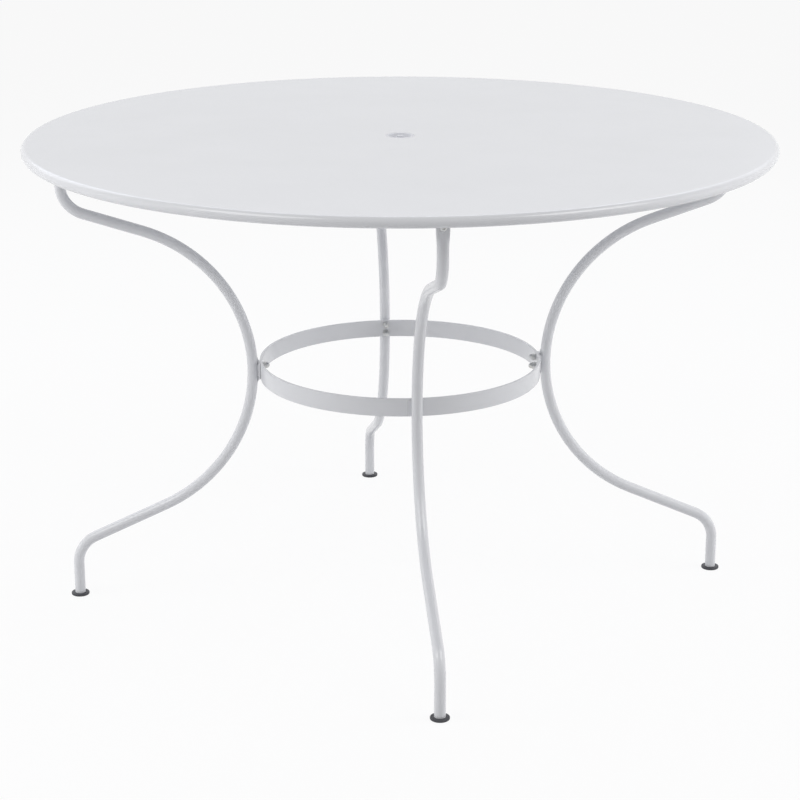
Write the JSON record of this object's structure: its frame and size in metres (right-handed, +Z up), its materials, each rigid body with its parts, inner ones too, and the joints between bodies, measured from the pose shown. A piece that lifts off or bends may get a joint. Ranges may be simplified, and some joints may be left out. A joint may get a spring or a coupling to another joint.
{
  "type": "garden table",
  "caption": "Round painted-steel garden table: pressed top with rolled rim and plugged parasol hole, on bent tube legs tied at the waist by a flat hoop.",
  "frame": {"origin": "on the floor, straight below the middle of the round top", "axes": "+Z up the table's own axis; the legs stand on +X, -X, +Y and -Y, with the front leg on -Y"},
  "size_m": [1.17, 1.17, 0.748],
  "materials": {
    "painted_steel": "pale cool grey powder coat, satin",
    "zinc_steel": "zinc plated, dull",
    "glide_plastic": "moulded, dark",
    "plug_plastic": "moulded, pale grey"
  },
  "bodies": {
    "table": {"table_top": "painted_steel", "parasol_sleeve": "painted_steel", "centre_plate": "painted_steel", "hoop": "painted_steel", "stiffener_right": "painted_steel", "stiffener_back": "painted_steel", "stiffener_left": "painted_steel", "stiffener_front": "painted_steel", "leg_bracket_right": "painted_steel", "leg_bracket_back": "painted_steel", "leg_bracket_left": "painted_steel", "leg_bracket_front": "painted_steel", "leg_right": "painted_steel", "leg_back": "painted_steel", "leg_left": "painted_steel", "leg_front": "painted_steel", "hoop_lug_right": "painted_steel", "hoop_lug_back": "painted_steel", "hoop_lug_left": "painted_steel", "hoop_lug_front": "painted_steel", "leg_bolts": "zinc_steel", "leg_washers": "zinc_steel", "leg_nuts": "zinc_steel", "hoop_studs": "zinc_steel", "hoop_cap_nuts": "zinc_steel", "foot_glide_right": "glide_plastic", "foot_glide_back": "glide_plastic", "foot_glide_left": "glide_plastic", "foot_glide_front": "glide_plastic"},
    "plug": {"parasol_plug": "plug_plastic"}
  },
  "joints": [
    {"name": "plug_lift", "type": "slide", "parent": "table", "child": "plug", "axis": [0, 0, 1], "range_m": [0, 0.3]}
  ]
}
